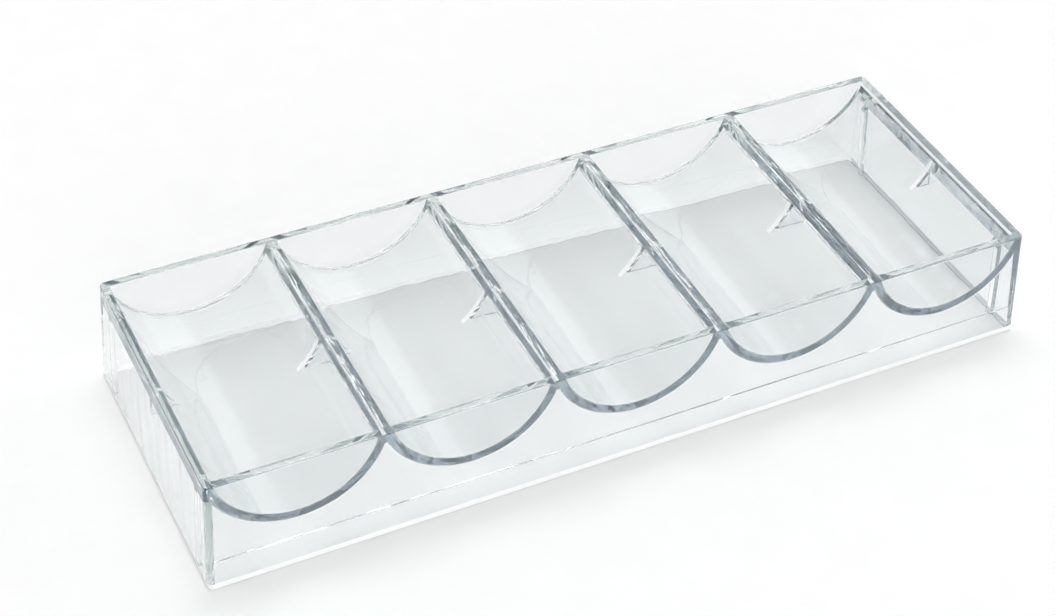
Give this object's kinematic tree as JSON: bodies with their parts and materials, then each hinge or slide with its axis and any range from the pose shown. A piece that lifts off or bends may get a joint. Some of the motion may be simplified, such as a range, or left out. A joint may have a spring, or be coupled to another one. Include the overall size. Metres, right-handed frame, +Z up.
{
  "type": "poker chip case",
  "caption": "Open clear plastic chip tray: round-bottomed rows side by side inside a thin drafted skirt, with flat ridges between the rows and half-row gussets.",
  "frame": {"origin": "middle of the foot plane that the tray stands on", "axes": "+Z up; X across the rows, along the tray's long side, left to right as seen from the front; Y along each row, front to rear"},
  "size_m": [0.206, 0.074, 0.0286],
  "materials": {
    "clear_plastic": "clear gloss"
  },
  "bodies": {
    "root": {"front_wall": "clear_plastic", "rear_wall": "clear_plastic", "left_end_wall": "clear_plastic", "right_end_wall": "clear_plastic", "trough_1": "clear_plastic", "trough_2": "clear_plastic", "trough_3": "clear_plastic", "trough_4": "clear_plastic", "trough_5": "clear_plastic", "ridge_1": "clear_plastic", "ridge_2": "clear_plastic", "ridge_3": "clear_plastic", "ridge_4": "clear_plastic", "ridge_gusset_1": "clear_plastic", "ridge_gusset_2": "clear_plastic", "ridge_gusset_3": "clear_plastic", "ridge_gusset_4": "clear_plastic", "left_end_gusset": "clear_plastic", "right_end_gusset": "clear_plastic", "front_left_rib": "clear_plastic", "rear_left_rib": "clear_plastic", "front_right_rib": "clear_plastic", "rear_right_rib": "clear_plastic"}
  },
  "joints": []
}
